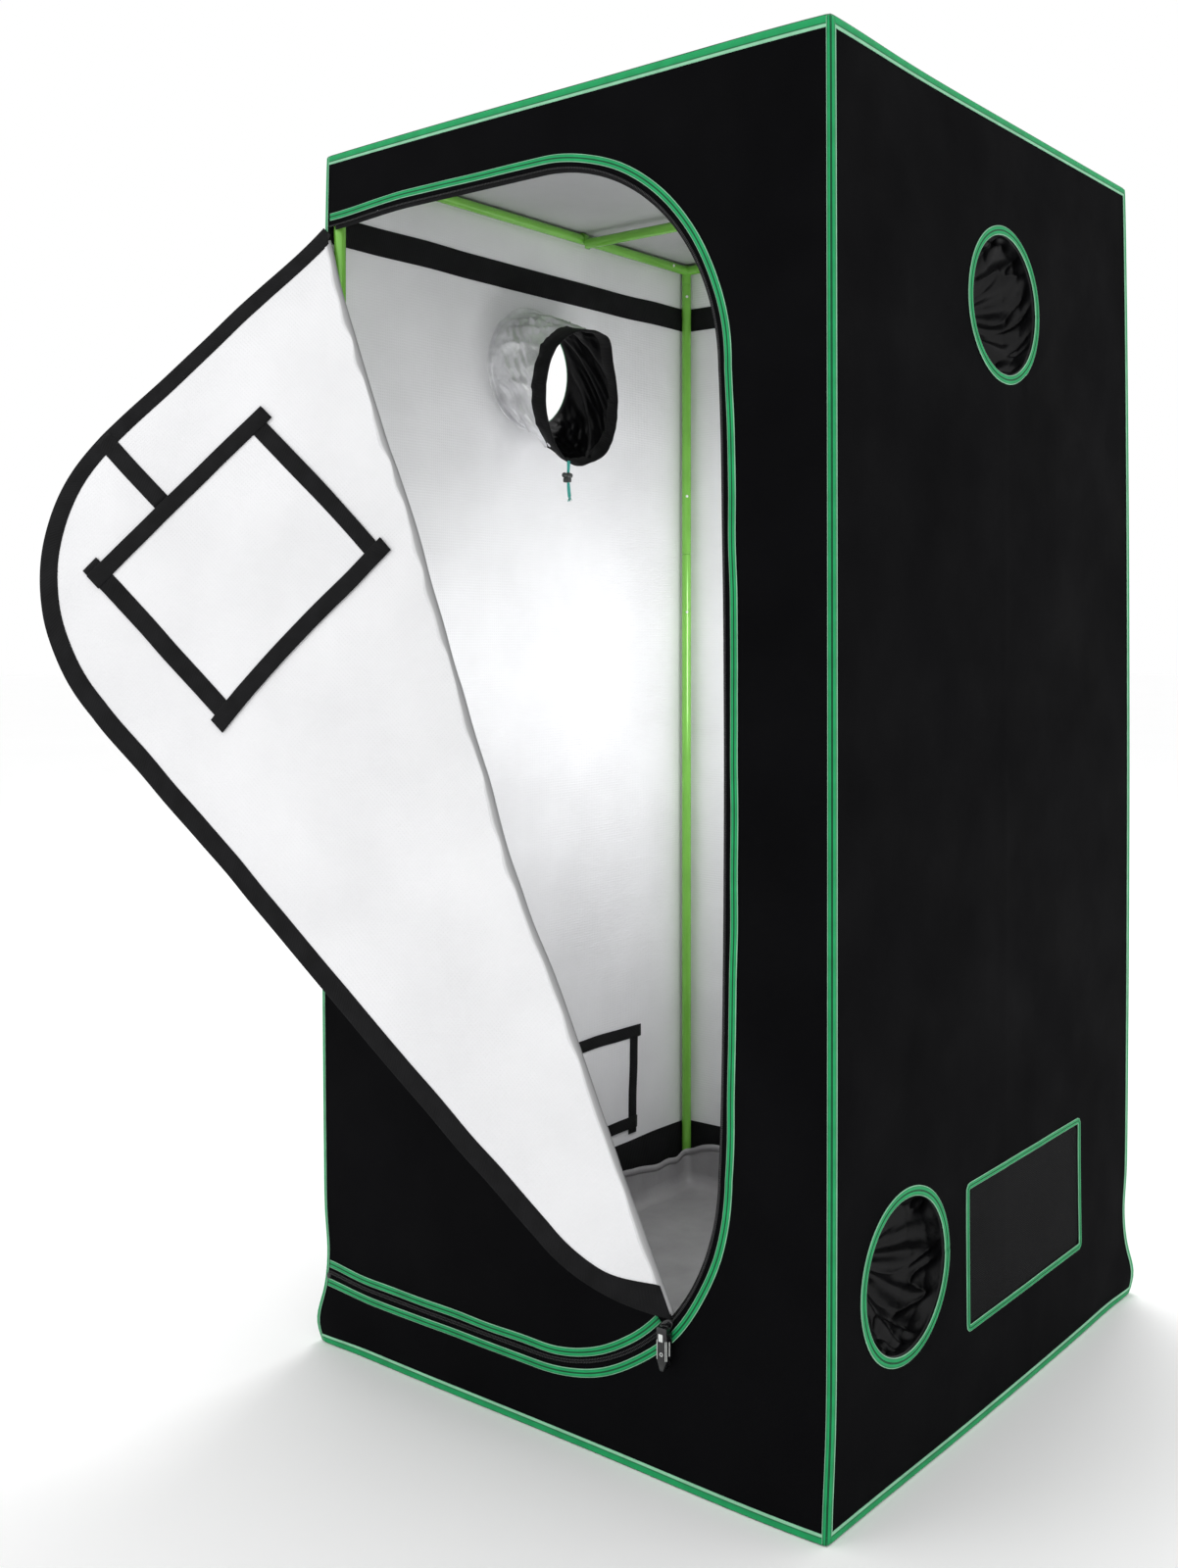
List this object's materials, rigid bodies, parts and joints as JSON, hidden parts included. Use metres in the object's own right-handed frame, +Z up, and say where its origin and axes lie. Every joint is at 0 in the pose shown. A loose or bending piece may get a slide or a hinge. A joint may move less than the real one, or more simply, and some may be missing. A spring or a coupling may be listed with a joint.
{
  "type": "grow tent",
  "caption": "Square fabric grow tent on a plug-together pole frame, its zipped front door folded open, with round duct ports, low mesh vents and a floor tray",
  "frame": {"origin": "centre of the tent's square footprint, on the ground", "axes": "+Z up along the posts, +Y from the door to the back wall, +X to the right seen from the front"},
  "size_m": [1.0756, 1.0586, 1.6011],
  "materials": {
    "frame_paint": "bright green gloss powder coat on steel tube",
    "cover_fabric": "near-black coated canvas outside, white reflective film inside",
    "reflective_lining": "white to silver reflective film with faint creases",
    "green_tape": "woven green tape with light stitched edges",
    "black_webbing": "matt black woven webbing",
    "zip_enamel": "glossy black enamel on a cast zip slider",
    "vent_mesh": "fine black mesh with a green sewn edge",
    "tray_fabric": "grey waterproof coated fabric",
    "window_film": "clear flexible film",
    "cord_yarn": "teal braided cord",
    "lock_plastic": "dark grey moulded plastic"
  },
  "bodies": {
    "root": {"band_lower": "black_webbing", "band_upper": "black_webbing", "cord_lock_right_low": "lock_plastic", "cord_lock_right_top": "lock_plastic", "corner_fitting_bottom_back_left": "frame_paint", "corner_fitting_bottom_back_right": "frame_paint", "corner_fitting_bottom_front_left": "frame_paint", "corner_fitting_bottom_front_right": "frame_paint", "corner_fitting_top_back_left": "frame_paint", "corner_fitting_top_back_right": "frame_paint", "corner_fitting_top_front_left": "frame_paint", "corner_fitting_top_front_right": "frame_paint", "door_lower": "cover_fabric", "drawstring_left": "cord_yarn", "edge_binding": "green_tape", "floor_panel": "cover_fabric", "floor_tray": "tray_fabric", "port_ring_left_top": "green_tape", "port_ring_right_low": "green_tape", "port_ring_right_top": "green_tape", "post_lower_back_left": "frame_paint", "post_lower_back_right": "frame_paint", "post_lower_front_left": "frame_paint", "post_lower_front_right": "frame_paint", "post_upper_back_left": "frame_paint", "post_upper_back_right": "frame_paint", "post_upper_front_left": "frame_paint", "post_upper_front_right": "frame_paint", "rail_bottom_back": "frame_paint", "rail_bottom_front": "frame_paint", "rail_bottom_left": "frame_paint", "rail_bottom_right": "frame_paint", "rail_top_back": "frame_paint", "rail_top_front": "frame_paint", "rail_top_left": "frame_paint", "rail_top_right": "frame_paint", "roof_panel": "cover_fabric", "sleeve_left_top": "reflective_lining", "sleeve_right_low": "cover_fabric", "sleeve_right_top": "cover_fabric", "vent_panel_left": "vent_mesh", "vent_panel_right": "vent_mesh", "wall_back": "cover_fabric", "wall_front": "cover_fabric", "wall_left": "cover_fabric", "wall_right": "cover_fabric", "zip_band_door": "green_tape", "zip_band_wall": "green_tape"},
    "door_flap_body": {"door_flap": "cover_fabric", "door_window": "window_film", "window_strap": "black_webbing", "zip_band_flap": "green_tape"},
    "window_cover": {"window_cover": "reflective_lining"},
    "vent_cover_left": {"vent_cover_left": "reflective_lining"},
    "vent_cover_right": {"vent_cover_right": "reflective_lining"},
    "hanging_bar": {"hanging_bar": "frame_paint"},
    "zip_slider": {"zip_slider": "zip_enamel"},
    "zip_pull": {"zip_pull": "zip_enamel"},
    "cord_lock_left_top": {"cord_lock_left_top": "lock_plastic"},
    "snap_button": {"snap_button_back_left": "frame_paint"}
  },
  "joints": [
    {"name": "door_fold", "type": "hinge", "parent": "root", "child": "door_flap_body", "pos_m": [-0.3925, -0.401, 1.485], "axis": [0.4103, 0, -0.9119], "range_deg": [-150.5, 20]},
    {"name": "window_cover_fold", "type": "hinge", "parent": "door_flap_body", "child": "window_cover", "pos_m": [-0.53912, -0.56255, 1.13135], "axis": [-0.5554, -0.449, -0.6999], "range_deg": [0, 120]},
    {"name": "vent_cover_left_fold", "type": "hinge", "parent": "root", "child": "vent_cover_left", "pos_m": [-0.3977, 0.064, 0.299], "axis": [0, -1, 0], "range_deg": [0, 150]},
    {"name": "vent_cover_right_fold", "type": "hinge", "parent": "root", "child": "vent_cover_right", "pos_m": [0.3977, 0.064, 0.299], "axis": [0, 1, 0], "range_deg": [0, 150]},
    {"name": "hanging_bar_slide", "type": "slide", "parent": "root", "child": "hanging_bar", "axis": [0, 1, 0], "range_m": [-0.15, 0.18]},
    {"name": "zip_travel", "type": "hinge", "parent": "root", "child": "zip_slider", "pos_m": [-0.009, -0.4, 0.356], "axis": [0, -1, 0], "range_deg": [-46, 43]},
    {"name": "zip_pull_swing", "type": "hinge", "parent": "zip_slider", "child": "zip_pull", "pos_m": [0.18424, -0.4069, 0.17321], "axis": [-1, 0, 0], "range_deg": [0, 115]},
    {"name": "cord_lock_slide", "type": "slide", "parent": "root", "child": "cord_lock_left_top", "axis": [0, 0, 1], "range_m": [-0.004, 0.012]},
    {"name": "snap_button_press", "type": "slide", "parent": "root", "child": "snap_button", "axis": [-0.7071, 0.7071, 0], "range_m": [0, 0.0023], "stiffness_N_per_m": 600}
  ]
}
